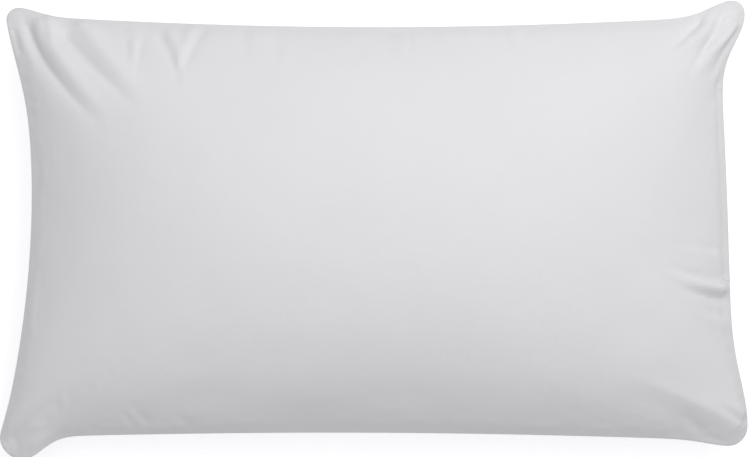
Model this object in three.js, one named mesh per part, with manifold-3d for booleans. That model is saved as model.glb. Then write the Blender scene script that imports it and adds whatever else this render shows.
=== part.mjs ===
// A plump bed pillow lying on its back panel.
//
// Two woven cotton panels are sewn together face to face all round, turned right side out through
// an opening in one short side, filled with a folded batt of hollow fibre and closed with a row of
// topstitch that is tacked at both ends. The turned-in seam allowances are overlocked.
//
// Millimetres. +X runs along the pillow, +Y across it and +Z up from the surface it lies on.

import * as THREE from 'three';
import Module from 'manifold-3d';

// ---- The filled pillow -----------------------------------------------------------------------
const SPAN_LENGTH = 790;         // ear to ear along X
const SPAN_WIDTH = 476;          // ear to ear along Y
const HEIGHT = 180;              // crown above the surface it lies on
const SEAM_HEIGHT = 78;          // seam line at the middle of a side
const EAR_HEIGHT = 54;           // seam line at the tip of an ear, which droops

// ---- Cloth and seam --------------------------------------------------------------------------
const CLOTH = 0.6;               // panel thickness
const GAP = 0.3;                 // clearance between pieces that touch
const ALLOWANCE = 10;            // turned-in seam allowance
const FOLD_ROOM = 1.2;           // from the fold to where the allowance leaves the panel
const EDGE_RISE = 4;             // thickness that the turned-in allowance gives each panel's edge
const EDGE_ROUND = 8;            // how far in from the fold that thickness is reached

// ---- Threads ---------------------------------------------------------------------------------
const THREAD = 0.6;              // thread diameter
const SEAM_INSET = 3;            // seam stitches, in from the fold
const OVERLOCK_REACH = 4;        // overlock thread over the raw edges
const OVERLOCK_THICK = 0.4;
const TOPSTITCH_INSET = 2;       // closing stitches, in from the fold
const CLOSING_START = -58;       // the opening's two ends, along the short side at +X
const CLOSING_END = 142;
const TACK_WIDTH = 3;            // the bar tack at each end of the closing row
const TACK_INSETS = [5, 2, 0.6]; // where a tack's line crosses each panel, in from the fold

// ---- Filling ---------------------------------------------------------------------------------
const FILL_GAP = 4;              // between the filling and the cloth
const FILL_INSET = 20;           // where the filling ends, in from the fold
const BATT_LAYERS = 3;           // the batt is one strip folded into layers of equal height
const FOLD_SLOT = 1.5;           // space between two layers of the batt
const FOLD_WEB = 55;             // batt left where it turns round from one layer to the next

// ---- Crown -----------------------------------------------------------------------------------
const CROWN_FLATNESS = 2.4;      // higher keeps the middle flatter
const CROWN_FULLNESS = 0.6;      // lower makes the sides steeper
const REST_SHARE = 0.62;         // the part of the underside that lies flat
const HALF_LENGTH = SPAN_LENGTH / 2;
const HALF_WIDTH = SPAN_WIDTH / 2;

// ---- Outline ---------------------------------------------------------------------------------
// The four ears: how far each tip sits from its nominal corner, and its rounding. A tip can't be
// sharper than the allowance that is folded up inside it.
const EARS = {
  frontLeft: { dx: -3, dy: -7, round: ALLOWANCE + 14 },
  frontRight: { dx: 0, dy: 8, round: ALLOWANCE + 9 },
  backRight: { dx: -3, dy: 4, round: ALLOWANCE + 2 },
  backLeft: { dx: 4, dy: -4, round: ALLOWANCE + 2 },
};
// The four sides pull in between the ears. sag is the long shallow curve, and near each end the
// side runs out to its ear: pull is how far and reach is over what length.
const SIDES = {
  front: { sag: 7, start: { pull: 26, reach: 36 }, end: { pull: 4, reach: 60 } },
  right: { sag: 1, start: { pull: 26, reach: 110 }, end: { pull: 20, reach: 52 } },
  back: { sag: 14, start: { pull: 8, reach: 29 }, end: { pull: 16, reach: 34 } },
  left: { sag: 25, start: { pull: 2, reach: 30 }, end: { pull: 12, reach: 72 } },
};

// How far a side has pulled in at a distance along it, 0 where each ear's rounding begins.
function pullIn(along, length, startRound, endRound, side) {
  const fromStart = Math.max(along - startRound, 0);
  const fromEnd = Math.max(length - endRound - along, 0);
  const t = Math.min(fromStart / (length - startRound - endRound), 1);
  const { sag, start, end } = side;
  return start.pull * (1 - t) + end.pull * t + sag * 4 * t * (1 - t)
    - start.pull * Math.exp(-((fromStart / start.reach) ** 2))
    - end.pull * Math.exp(-((fromEnd / end.reach) ** 2));
}

// Where a place on the plain rectangle SPAN_LENGTH by SPAN_WIDTH lands on the filled pillow.
function warp(p, q) {
  const right = (1 + p / HALF_LENGTH) / 2;
  const left = 1 - right;
  const back = (1 + q / HALF_WIDTH) / 2;
  const front = 1 - back;
  const { frontLeft, frontRight, backRight, backLeft } = EARS;
  const corners = [
    [left * front, frontLeft],
    [right * front, frontRight],
    [right * back, backRight],
    [left * back, backLeft],
  ];
  let x = p;
  let y = q;
  for (const [share, ear] of corners) {
    x += share * ear.dx;
    y += share * ear.dy;
  }
  const alongX = p + HALF_LENGTH;
  const alongY = q + HALF_WIDTH;
  y += front * pullIn(alongX, SPAN_LENGTH, frontLeft.round, frontRight.round, SIDES.front);
  y -= back * pullIn(alongX, SPAN_LENGTH, backLeft.round, backRight.round, SIDES.back);
  x += left * pullIn(alongY, SPAN_WIDTH, frontLeft.round, backLeft.round, SIDES.left);
  x -= right * pullIn(alongY, SPAN_WIDTH, frontRight.round, backRight.round, SIDES.right);
  return { x, y };
}

// ---- Stations round the seam -----------------------------------------------------------------
// A station is a place on the rounded rectangle with its inward normal, so that a line at any
// inset can be drawn round the pillow. Stations crowd towards the ears.
const STEPS_LONG = 14;
const STEPS_SHORT = 9;
const STEPS_OPENING = 6;
const STEPS_BESIDE = 4;          // between the opening and each ear beside it
const STEPS_EAR = 3;

function earStations(signX, signY, round, startAngle) {
  const stations = [];
  for (let i = 0; i <= STEPS_EAR; i++) {
    const angle = startAngle + (Math.PI / 2) * (i / STEPS_EAR);
    const outX = Math.cos(angle);
    const outY = Math.sin(angle);
    stations.push({
      p: signX * (HALF_LENGTH - round) + round * outX,
      q: signY * (HALF_WIDTH - round) + round * outY,
      inX: -outX,
      inY: -outY,
    });
  }
  return stations;
}

// Stations between two others, crowding towards both.
function sideStations(from, to, steps) {
  const stations = [];
  for (let i = 1; i < steps; i++) {
    const t = (1 - Math.cos((Math.PI * i) / steps)) / 2;
    stations.push({ ...from, p: from.p + (to.p - from.p) * t, q: from.q + (to.q - from.q) * t });
  }
  return stations;
}

// Evenly spaced stations along the opening in the short side at +X.
function openingStations() {
  return Array.from({ length: STEPS_OPENING + 1 }, (_, i) => ({
    p: HALF_LENGTH,
    q: CLOSING_START + ((CLOSING_END - CLOSING_START) * i) / STEPS_OPENING,
    inX: -1,
    inY: 0,
  }));
}

const OPENING = openingStations();

// Stations all round. A line far in from the fold needs ears rounded by that much more.
function stationsRound(extraRound) {
  const frontLeft = earStations(-1, -1, EARS.frontLeft.round + extraRound, Math.PI);
  const frontRight = earStations(1, -1, EARS.frontRight.round + extraRound, -Math.PI / 2);
  const backRight = earStations(1, 1, EARS.backRight.round + extraRound, 0);
  const backLeft = earStations(-1, 1, EARS.backLeft.round + extraRound, Math.PI / 2);
  return [
    ...frontLeft,
    ...sideStations(frontLeft.at(-1), frontRight[0], STEPS_LONG),
    ...frontRight,
    ...sideStations(frontRight.at(-1), OPENING[0], STEPS_BESIDE),
    ...OPENING,
    ...sideStations(OPENING.at(-1), backRight[0], STEPS_BESIDE),
    ...backRight,
    ...sideStations(backRight.at(-1), backLeft[0], STEPS_LONG),
    ...backLeft,
    ...sideStations(backLeft.at(-1), frontLeft[0], STEPS_SHORT),
  ];
}

const STATIONS = stationsRound(0);

// ---- Surfaces --------------------------------------------------------------------------------
// The height of the seam plane over any place: level along the middle, drooping to the ears.
function seamPlane(u, v) {
  return SEAM_HEIGHT - (SEAM_HEIGHT - EAR_HEIGHT) * Math.abs(u * v) ** 3;
}

// A rounded shoulder, from 0 at the fold to 1 where the turned-in allowance fills the edge.
function shoulder(inset) {
  return Math.sqrt(1 - (1 - Math.min(1, inset / EDGE_ROUND)) ** 2);
}

// A place on the pillow, inset from the fold and then drawn towards the middle by scale.
function place(station, inset, scale) {
  const p = (station.p + station.inX * inset) * scale;
  const q = (station.q + station.inY * inset) * scale;
  return { ...warp(p, q), u: p / HALF_LENGTH, v: q / HALF_WIDTH };
}

// The front panel's face: a crown that is the product of a curve along X and a curve along Y.
function frontPoint(station, inset, scale) {
  const { x, y, u, v } = place(station, inset, scale);
  const fall = (1 - Math.abs(u) ** CROWN_FLATNESS) * (1 - Math.abs(v) ** CROWN_FLATNESS);
  const crown = (HEIGHT - SEAM_HEIGHT - EDGE_RISE) * fall ** CROWN_FULLNESS;
  const z = seamPlane(u, v) + GAP / 2 + (EDGE_RISE - GAP / 2 + crown) * shoulder(inset);
  return new THREE.Vector3(x, y, z);
}

// The back panel's face: it curves under from the seam and lies flat at height 0.
function backPoint(station, inset, scale) {
  const { x, y, u, v } = place(station, inset, scale);
  const seam = seamPlane(u, v) - GAP / 2;
  const under = seam - EDGE_RISE * shoulder(inset);
  const t = Math.min((1 - scale) / (1 - REST_SHARE), 1);
  const ear = Math.abs((station.p * station.q) / (HALF_LENGTH * HALF_WIDTH)) ** 4;
  const fall = (1 - (1 - t) ** 2) ** (CROWN_FULLNESS + (1 - CROWN_FULLNESS) * ear);
  const z = t === 1 ? 0 : under * (1 - fall);
  return new THREE.Vector3(x, y, z);
}

// Rings from the fold to the middle: inset, then scale.
const EDGE_RINGS = [[0, 1], [2.5, 1], [EDGE_ROUND, 1]];
const FRONT_RINGS = [...EDGE_RINGS, ...[0.93, 0.84, 0.72, 0.56, 0.36].map((s) => [EDGE_ROUND, s])];
const BACK_RINGS = [
  ...EDGE_RINGS, ...[0.96, 0.88, 0.77, REST_SHARE, 0.4].map((s) => [EDGE_ROUND, s]),
];

// ---- Closed bodies from rings of points ------------------------------------------------------
// Joins rings of equal length into one closed body. A ring that is a single point is a pole.
// Seen against the order of the rings, each ring runs counter-clockwise; turned is for a body
// whose rings run the other way, so that its faces point out too. The first mirrored bands cut
// their quads on the other diagonal, so that a shell's two walls are cut alike and stay parallel.
function bodyFromRings(rings, { closedLoop = false, turned = false, mirrored = 0 } = {}) {
  const positions = [];
  const starts = rings.map((ring) => {
    const start = positions.length / 3;
    ring.forEach((point) => positions.push(point.x, point.y, point.z));
    return start;
  });
  const index = [];
  const pairs = closedLoop ? rings.length : rings.length - 1;
  for (let k = 0; k < pairs; k++) {
    const next = (k + 1) % rings.length;
    const count = Math.max(rings[k].length, rings[next].length);
    for (let i = 0; i < count; i++) {
      const j = (i + 1) % count;
      const a = starts[k] + (rings[k].length === 1 ? 0 : i);
      const b = starts[k] + (rings[k].length === 1 ? 0 : j);
      const c = starts[next] + (rings[next].length === 1 ? 0 : j);
      const d = starts[next] + (rings[next].length === 1 ? 0 : i);
      if (a !== b) index.push(a, b, k < mirrored ? d : c);
      if (c !== d) index.push(k < mirrored ? b : a, c, d);
    }
  }
  if (turned) index.reverse();
  const geometry = new THREE.BufferGeometry();
  geometry.setAttribute('position', new THREE.Float32BufferAttribute(positions, 3));
  geometry.setIndex(index);
  geometry.computeVertexNormals();
  return geometry;
}

// The same rings moved by a distance along the surface's outward normal, which is turned so that
// it points up on the front panel (side 1) and down on the back panel (side -1).
function offsetRings(rings, distance, side) {
  return rings.map((ring, k) => ring.map((point, i) => {
    if (ring.length === 1) return point.clone().setZ(point.z + side * distance);
    const count = ring.length;
    const along = new THREE.Vector3().subVectors(ring[(i + 1) % count], ring[(i + count - 1) % count]);
    const outer = rings[Math.max(k - 1, 0)][i];
    const nextRing = rings[Math.min(k + 1, rings.length - 1)];
    const inner = nextRing.length === 1 ? nextRing[0] : nextRing[i];
    const inward = new THREE.Vector3().subVectors(inner, outer);
    const normal = along.cross(inward).normalize().multiplyScalar(side);
    return point.clone().addScaledVector(normal, distance);
  }));
}

// A ring at a fixed inset from the fold and a fixed height from the seam plane.
function seamRing(stations, inset, rise) {
  return stations.map((station) => {
    const { x, y, u, v } = place(station, inset, 1);
    return new THREE.Vector3(x, y, seamPlane(u, v) + rise);
  });
}

// ---- Materials -------------------------------------------------------------------------------
const cotton = new THREE.MeshStandardMaterial({ color: 0xe6e6e8, roughness: 0.92, metalness: 0 });
const fibre = new THREE.MeshStandardMaterial({ color: 0xf2f2f0, roughness: 0.98, metalness: 0 });
const polyester = new THREE.MeshStandardMaterial({ color: 0xf0f0f0, roughness: 0.7, metalness: 0 });

const pillow = new THREE.Group();

function add(name, geometry, material) {
  const mesh = new THREE.Mesh(geometry, material);
  mesh.name = name;
  pillow.add(mesh);
  return mesh;
}

// ---- Panels ----------------------------------------------------------------------------------
// One panel is a shell: its face from the middle out to the fold, the allowance turned in along
// the seam plane and back, and its inside surface from the fold to the middle.
const MIDDLE = { p: 0, q: 0, inX: 0, inY: 0 };

function panel(side, facePoint, ringList) {
  const face = ringList.map(([inset, scale]) => STATIONS.map((s) => facePoint(s, inset, scale)));
  face.push([facePoint(MIDDLE, EDGE_ROUND, 0)]);
  const inside = offsetRings(face, -CLOTH, side);
  const lower = side * (GAP / 2);
  const upper = side * (GAP / 2 + CLOTH);
  const rings = [
    ...face.reverse(),
    seamRing(STATIONS, ALLOWANCE, lower),
    seamRing(STATIONS, ALLOWANCE, upper),
    seamRing(STATIONS, FOLD_ROOM, upper),
    ...inside.slice(1),
  ];
  return bodyFromRings(rings, { turned: side > 0, mirrored: face.length - 1 });
}

add('front_panel', panel(1, frontPoint, FRONT_RINGS), cotton);
add('back_panel', panel(-1, backPoint, BACK_RINGS), cotton);

// ---- Filling ---------------------------------------------------------------------------------
// The batt fills the casing up to the allowances. Level cuts that are open at alternate ends leave
// it as one strip folded to and fro.
const wasm = await Module();
wasm.setup();

function toManifold(geometry) {
  const mesh = new wasm.Mesh({
    numProp: 3,
    vertProperties: new Float32Array(geometry.attributes.position.array),
    triVerts: new Uint32Array(geometry.index.array),
  });
  return new wasm.Manifold(mesh);
}

function fromManifold(solid) {
  const mesh = solid.getMesh();
  const geometry = new THREE.BufferGeometry();
  geometry.setAttribute('position', new THREE.BufferAttribute(mesh.vertProperties, 3));
  geometry.setIndex(new THREE.BufferAttribute(mesh.triVerts, 1));
  geometry.computeVertexNormals();
  return geometry;
}

// A box as eight shared corners, between two opposite corners.
function boxBody(low, high) {
  const ring = (z) => [
    new THREE.Vector3(low.x, low.y, z),
    new THREE.Vector3(high.x, low.y, z),
    new THREE.Vector3(high.x, high.y, z),
    new THREE.Vector3(low.x, high.y, z),
  ];
  const middle = new THREE.Vector3().addVectors(low, high).divideScalar(2);
  const bottom = [middle.clone().setZ(low.z)];
  const top = [middle.clone().setZ(high.z)];
  return bodyFromRings([bottom, ring(low.z), ring(high.z), top]);
}

function battBody() {
  const depth = CLOTH + FILL_GAP;
  const stations = stationsRound(FILL_INSET);
  const block = (ringList, facePoint, side) => {
    const rings = ringList.map(([, scale]) => (
      stations.map((s) => facePoint(s, FILL_INSET, scale))
    ));
    rings.push([facePoint(MIDDLE, FILL_INSET, 0)]);
    return offsetRings(rings, -depth, side);
  };
  const scales = (ringList) => ringList.slice(EDGE_RINGS.length - 1);
  const top = block(scales(FRONT_RINGS), frontPoint, 1);
  const bottom = block(scales(BACK_RINGS), backPoint, -1);
  return bodyFromRings([...bottom.reverse(), ...top]);
}

function foldedBatt() {
  let batt = toManifold(battBody());
  for (let layer = 1; layer < BATT_LAYERS; layer++) {
    const z = (HEIGHT * layer) / BATT_LAYERS;
    const end = layer % 2 === 1 ? 1 : -1;
    const turn = end * (HALF_LENGTH - FILL_INSET - FOLD_WEB - (HEIGHT - z) / 2);
    const open = -end * SPAN_LENGTH;
    const low = new THREE.Vector3(Math.min(open, turn), -SPAN_WIDTH, z - FOLD_SLOT / 2);
    const high = new THREE.Vector3(Math.max(open, turn), SPAN_WIDTH, z + FOLD_SLOT / 2);
    batt = batt.subtract(toManifold(boxBody(low, high)));
  }
  return fromManifold(batt);
}

add('fibre_batt', foldedBatt(), fibre);

// ---- Seam threads ----------------------------------------------------------------------------
// A thread is a four-sided tube along a run of stations, closed by a point at each end.
function threadAlong(stations, sectionAt) {
  const rings = stations.map(sectionAt);
  const middle = (ring) => [new THREE.Vector3().addVectors(ring[0], ring[2]).divideScalar(2)];
  return bodyFromRings([middle(rings[0]), ...rings, middle(rings.at(-1))]);
}

// The lockstitch runs from one end of the opening round to the other, its needle thread on the
// front allowance and its bobbin thread on the back one.
function seamRun() {
  const openingEnd = STATIONS.indexOf(OPENING.at(-1));
  const openingStart = STATIONS.indexOf(OPENING[0]);
  return [...STATIONS.slice(openingEnd), ...STATIONS.slice(0, openingStart + 1)];
}

function seamThread(side) {
  const rise = side * (GAP / 2 + CLOTH + GAP + THREAD / 2);
  const half = THREAD / 2;
  const section = [[-half, 0], [0, -half], [half, 0], [0, half]];
  return threadAlong(seamRun(), (station) => section.map(([across, up]) => (
    seamRing([station], SEAM_INSET + across, rise + up)[0]
  )));
}

add('seam_needle_thread', seamThread(1), polyester);
add('seam_bobbin_thread', seamThread(-1), polyester);

// ---- Overlock --------------------------------------------------------------------------------
// The looped overlock threads lie so close that they form a band, which wraps the two raw edges
// from the inside of the front allowance round to the inside of the back one.
function overlockBand() {
  const inner = GAP / 2 + CLOTH + GAP;
  const outer = inner + OVERLOCK_THICK;
  const start = ALLOWANCE - OVERLOCK_REACH;
  const end = ALLOWANCE + GAP;
  const section = [
    [start, outer],
    [end + OVERLOCK_THICK, outer],
    [end + OVERLOCK_THICK, -outer],
    [start, -outer],
    [start, -inner],
    [end, -inner],
    [end, inner],
    [start, inner],
  ];
  const rings = section.map(([inset, rise]) => seamRing(STATIONS, inset, rise));
  return bodyFromRings(rings, { closedLoop: true });
}

add('overlock_thread', overlockBand(), polyester);

// ---- Closing row -----------------------------------------------------------------------------
// The opening is closed from outside with topstitch through both folded edges, so one thread lies
// on the front panel and one on the back, and a bar tack wraps the fold at each end.

// A point near a panel's face: a distance out from it, then a step along it away from the fold.
function besideFace(station, inset, side, distance, step = 0) {
  const facePoint = side > 0 ? frontPoint : backPoint;
  const before = facePoint({ ...station, q: station.q - 1 }, inset, 1);
  const after = facePoint({ ...station, q: station.q + 1 }, inset, 1);
  const outer = facePoint(station, inset - 0.5, 1);
  const inner = facePoint(station, inset + 0.5, 1);
  const along = new THREE.Vector3().subVectors(after, before);
  const inward = new THREE.Vector3().subVectors(inner, outer).normalize();
  const normal = along.cross(inward).normalize().multiplyScalar(side);
  return facePoint(station, inset, 1)
    .addScaledVector(normal, distance)
    .addScaledVector(inward, step);
}

function closingThread(side) {
  const half = THREAD / 2;
  const section = [[0, -half], [-half, 0], [0, half], [half, 0]];
  return threadAlong(OPENING, (station) => section.map(([out, step]) => (
    besideFace(station, TOPSTITCH_INSET, side, GAP + half + out, side * step)
  )));
}

add('closing_needle_thread', closingThread(1), polyester);
add('closing_bobbin_thread', closingThread(-1), polyester);

// A tack is a satin-stitched bar that goes over the fold from one panel's face to the other's.
function tack(middleQ) {
  const half = TACK_WIDTH / 2;
  const under = GAP;
  const over = GAP + THREAD;
  const corners = [[under, half], [over, half], [over, -half], [under, -half]];
  const at = (across) => ({ ...OPENING[0], q: middleQ + across });
  const section = (inset, side) => corners.map(([distance, across]) => (
    besideFace(at(across), inset, side, distance)
  ));
  const tip = corners.map(([distance, across]) => seamRing([at(across)], -distance, 0)[0]);
  const front = TACK_INSETS.map((inset) => section(inset, 1));
  const back = TACK_INSETS.map((inset) => section(inset, -1));
  const rings = [...front, tip, ...back.reverse()];
  const middle = (ring) => [new THREE.Vector3().addVectors(ring[0], ring[2]).divideScalar(2)];
  return bodyFromRings([middle(rings[0]), ...rings, middle(rings.at(-1))]);
}

const TACK_CLEARANCE = TACK_WIDTH / 2 + GAP + THREAD;
add('lower_bar_tack', tack(CLOSING_START - TACK_CLEARANCE), polyester);
add('upper_bar_tack', tack(CLOSING_END + TACK_CLEARANCE), polyester);

// ---- Placing ---------------------------------------------------------------------------------
// The origin is under the middle of the bounding box, on the surface the pillow lies on.
const box = new THREE.Box3().setFromObject(pillow);
const centre = box.getCenter(new THREE.Vector3());
pillow.position.set(-centre.x, -centre.y, -box.min.z);

export default pillow;
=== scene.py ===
import math

import bpy
import numpy as np
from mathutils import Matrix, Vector


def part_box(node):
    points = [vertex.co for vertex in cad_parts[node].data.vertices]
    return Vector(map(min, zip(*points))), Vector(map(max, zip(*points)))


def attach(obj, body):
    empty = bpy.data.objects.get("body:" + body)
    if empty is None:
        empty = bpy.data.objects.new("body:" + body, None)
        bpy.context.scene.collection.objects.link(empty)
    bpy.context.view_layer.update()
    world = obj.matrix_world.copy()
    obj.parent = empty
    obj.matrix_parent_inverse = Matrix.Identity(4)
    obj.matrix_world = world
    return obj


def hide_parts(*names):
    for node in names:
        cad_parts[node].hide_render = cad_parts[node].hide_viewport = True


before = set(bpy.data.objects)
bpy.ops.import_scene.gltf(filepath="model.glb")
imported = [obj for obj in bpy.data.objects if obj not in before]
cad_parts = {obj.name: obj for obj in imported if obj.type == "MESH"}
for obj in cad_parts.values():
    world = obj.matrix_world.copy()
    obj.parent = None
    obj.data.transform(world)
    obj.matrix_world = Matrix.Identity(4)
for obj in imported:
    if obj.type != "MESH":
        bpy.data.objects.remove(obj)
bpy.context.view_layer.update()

# The room ------------------------------------------------------------------------------------
# The pillow lies on a pale floor and is seen from straight above through a long lens, with its
# length across the view. Soft light comes from the upper right and the whole room is bright.

SCENE = bpy.context.scene

SEAM_LEVEL = 0.078            # the seam's height at the middle of each side
VIEW_WIDTH = 0.792            # what the picture's width takes in at that height
VIEW_CENTRE = (0.0014, 0.0013)
EYE_DISTANCE = 3.2            # from the eye to that height

eye = bpy.data.cameras.new("eye")
eye.sensor_width = 36.0
eye.lens = eye.sensor_width * EYE_DISTANCE / VIEW_WIDTH
eye_object = bpy.data.objects.new("eye", eye)
eye_object.location = (*VIEW_CENTRE, SEAM_LEVEL + EYE_DISTANCE)
SCENE.collection.objects.link(eye_object)
SCENE.camera = eye_object
SCENE.view_settings.view_transform = "Standard"


def softbox(name, place, size, power):
    """A square white area light at place, aimed at the middle of the pillow."""
    light = bpy.data.lights.new(name, "AREA")
    light.size = size
    light.energy = power
    lamp = bpy.data.objects.new(name, light)
    lamp.location = place
    aim = Vector((0.0, 0.0, SEAM_LEVEL)) - Vector(place)
    lamp.rotation_euler = aim.to_track_quat("-Z", "Y").to_euler()
    SCENE.collection.objects.link(lamp)


softbox("key", place=(0.7, 1.1, 1.6), size=1.1, power=11.8)
softbox("overhead", place=(0.0, 0.2, 2.4), size=1.8, power=17.4)


def seen_brighter(tree, socket, given, seen):
    """Sets a strength that is given out into the room, and a higher one that is only seen:
    the given strength plus the difference where a ray comes straight from the eye."""
    ray = tree.nodes.new("ShaderNodeLightPath")
    strength = tree.nodes.new("ShaderNodeMath")
    strength.operation = "MULTIPLY_ADD"
    strength.inputs[1].default_value = seen - given
    strength.inputs[2].default_value = given
    tree.links.new(ray.outputs["Is Camera Ray"], strength.inputs[0])
    tree.links.new(strength.outputs[0], socket)


room = bpy.data.worlds.new("bright_room")
room.use_nodes = True
sky = room.node_tree.nodes["Background"]
sky.inputs["Color"].default_value = (0.97, 0.97, 1.0, 1.0)
seen_brighter(room.node_tree, sky.inputs["Strength"], given=0.41, seen=0.9)
SCENE.world = room

FLOOR_REACH = 4               # each way from the middle
FLOOR_DROP = 0.001            # below the underside, so that the two never flicker

floor_mesh = bpy.data.meshes.new("floor")
floor_corners = [
    (x * FLOOR_REACH, y * FLOOR_REACH, 0) for x, y in ((-1, -1), (1, -1), (1, 1), (-1, 1))
]
floor_mesh.from_pydata(floor_corners, [], [(0, 1, 2, 3)])
floor_finish = bpy.data.materials.new("pale_floor")
floor_finish.use_nodes = True
floor_shader = floor_finish.node_tree.nodes["Principled BSDF"]
floor_shader.inputs["Base Color"].default_value = (0.75, 0.75, 0.76, 1.0)
floor_shader.inputs["Roughness"].default_value = 0.9
floor_shader.inputs["Emission Color"].default_value = (1.0, 1.0, 1.0, 1.0)
seen_brighter(
    floor_finish.node_tree, floor_shader.inputs["Emission Strength"], given=0.16, seen=0.54
)
floor_mesh.materials.append(floor_finish)
floor_object = bpy.data.objects.new("floor", floor_mesh)
floor_object.location.z = -FLOOR_DROP
SCENE.collection.objects.link(floor_object)


# The casing ----------------------------------------------------------------------------------
# Two panels of white percale, a fine plain-woven cotton, are cut alike, sewn together all round
# and turned out. Filled, the sides pull in between four drawn-out ears, and the spare cloth
# along the seam gathers into small tucks.

CUT_LENGTH = 0.80             # seam to seam, lying flat
CUT_WIDTH = 0.50
SEAM_ALLOWANCE = 0.010        # turned in beyond the seam, on each panel
CLOTH_THICKNESS = 0.0004
GATHER = 1.025                # cloth eased in along the seam
HALF_LENGTH = 0.395           # ear to ear once filled
HALF_WIDTH = 0.238
OUTLINE_CENTRE = VIEW_CENTRE  # the ears' middle is a hair off the origin
EAR_DROOP = 0.024             # how far an ear hangs below the middle of a side
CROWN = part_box("front_panel")[1][2] - SEAM_LEVEL

# Each ear: how far its tip sits from its nominal corner, and its rounding.
EARS = {
    "front_left": (-0.003, -0.007, 0.024),
    "front_right": (0.000, 0.008, 0.019),
    "back_right": (-0.003, 0.004, 0.012),
    "back_left": (0.004, -0.004, 0.012),
}
# Each side: its long shallow sag, which bows out where it is below 0, then how far and over what
# length it runs out to the ear at its start and at its end.
SIDES = {
    "front": (0.008, 0.0235, 0.028, 0.0055, 0.035),
    "right": (-0.003, 0.0185, 0.070, 0.0306, 0.0453),
    "back": (0.014, 0.008, 0.029, 0.016, 0.034),
    "left": (0.025, 0.002, 0.030, 0.012, 0.072),
}


def pull_in(along, length, start_ear, end_ear, side):
    """How far a side has pulled in: a parabola plus, at each end, a run-out that dies away as
    a bell curve from the ear. It is 0 where each ear's rounding begins."""
    sag, start_pull, start_reach, end_pull, end_reach = SIDES[side]
    start_round = EARS[start_ear][2]
    end_round = EARS[end_ear][2]
    from_start = np.maximum(along - start_round, 0)
    from_end = np.maximum(length - end_round - along, 0)
    t = np.minimum(from_start / (length - start_round - end_round), 1)
    straight = start_pull * (1 - t) + end_pull * t + sag * 4 * t * (1 - t)
    start = start_pull * np.exp(-(from_start / start_reach) ** 2)
    end = end_pull * np.exp(-(from_end / end_reach) ** 2)
    return straight - start - end


def warp(p, q):
    """Where a place on the plain rectangle lands once filled: the four ears' shifts and the
    four sides' pull, each fading evenly towards the opposite side."""
    right = (1 + p / HALF_LENGTH) / 2
    back = (1 + q / HALF_WIDTH) / 2
    left = 1 - right
    front = 1 - back
    shares = {
        "front_left": left * front,
        "front_right": right * front,
        "back_right": right * back,
        "back_left": left * back,
    }
    x = p + sum(shares[ear] * EARS[ear][0] for ear in EARS)
    y = q + sum(shares[ear] * EARS[ear][1] for ear in EARS)
    along_x = p + HALF_LENGTH
    along_y = q + HALF_WIDTH
    y = y + front * pull_in(along_x, 2 * HALF_LENGTH, "front_left", "front_right", "front")
    y = y - back * pull_in(along_x, 2 * HALF_LENGTH, "back_left", "back_right", "back")
    x = x + left * pull_in(along_y, 2 * HALF_WIDTH, "front_left", "back_left", "left")
    x = x - right * pull_in(along_y, 2 * HALF_WIDTH, "front_right", "back_right", "right")
    return x + OUTLINE_CENTRE[0], y + OUTLINE_CENTRE[1]


def side_run(t, half, start_ear, end_ear):
    """A side from the middle of one ear to the middle of the next, for t from -1 to 1 at an
    even pace: half an ear's arc, the straight, and half the other arc. Gives the place along
    the side, from its middle, and the depth in from it."""
    start_round = EARS[start_ear][2]
    end_round = EARS[end_ear][2]
    start_arc = start_round * math.pi / 4
    end_arc = end_round * math.pi / 4
    straight = 2 * half - start_round - end_round
    run = (t + 1) / 2 * (start_arc + straight + end_arc)
    a = math.pi / 4 - np.minimum(run, start_arc) / start_round
    b = np.maximum(run - start_arc - straight, 0) / end_round
    middle = start_round + np.clip(run - start_arc, 0, straight)
    along = middle - start_round * np.sin(a) + end_round * np.sin(b) - half
    depth = start_round * (1 - np.cos(a)) + end_round * (1 - np.cos(b))
    return along, depth


def filled_place(u, v):
    """Where the cut's place (u, v), each from -1 to 1, lands on the filled pillow: its direction
    from the middle picks a point of the outline, and its share of the way there is kept."""
    share = np.maximum(np.maximum(np.abs(u), np.abs(v)), 1e-9)
    du = u / share
    dv = v / share
    front_along, front_depth = side_run(du, HALF_LENGTH, "front_left", "front_right")
    back_along, back_depth = side_run(du, HALF_LENGTH, "back_left", "back_right")
    left_along, left_depth = side_run(dv, HALF_WIDTH, "front_left", "back_left")
    right_along, right_depth = side_run(dv, HALF_WIDTH, "front_right", "back_right")
    long_side = np.abs(v) >= np.abs(u)
    long_p = np.where(v < 0, front_along, back_along)
    long_q = np.where(v < 0, front_depth - HALF_WIDTH, HALF_WIDTH - back_depth)
    short_p = np.where(u < 0, left_depth - HALF_LENGTH, HALF_LENGTH - right_depth)
    short_q = np.where(u < 0, left_along, right_along)
    return (
        np.where(long_side, long_p, short_p) * share,
        np.where(long_side, long_q, short_q) * share,
    )


def seam_level(p, q):
    """The seam's height: level along each side, drooping towards the ears with the cube."""
    return SEAM_LEVEL - EAR_DROOP * np.abs(p * q / (HALF_LENGTH * HALF_WIDTH)) ** 3


CROWDING = 0.35               # how much closer the grid's lines are at the seam


def crowded(count):
    """count + 1 places from -1 to 1 that crowd towards both ends by one turn of a sine."""
    t = np.linspace(0, 1, count + 1)
    return 2 * (t - CROWDING * np.sin(2 * np.pi * t) / (2 * np.pi)) - 1


def faces_of(numbers, outward_up):
    """Quads over a grid of vertex numbers, seen counter-clockwise from above or from below."""
    quads = np.stack(
        [numbers[:-1, :-1], numbers[1:, :-1], numbers[1:, 1:], numbers[:-1, 1:]], axis=-1
    ).reshape(-1, 4)
    return quads if outward_up else quads[:, ::-1]


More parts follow.
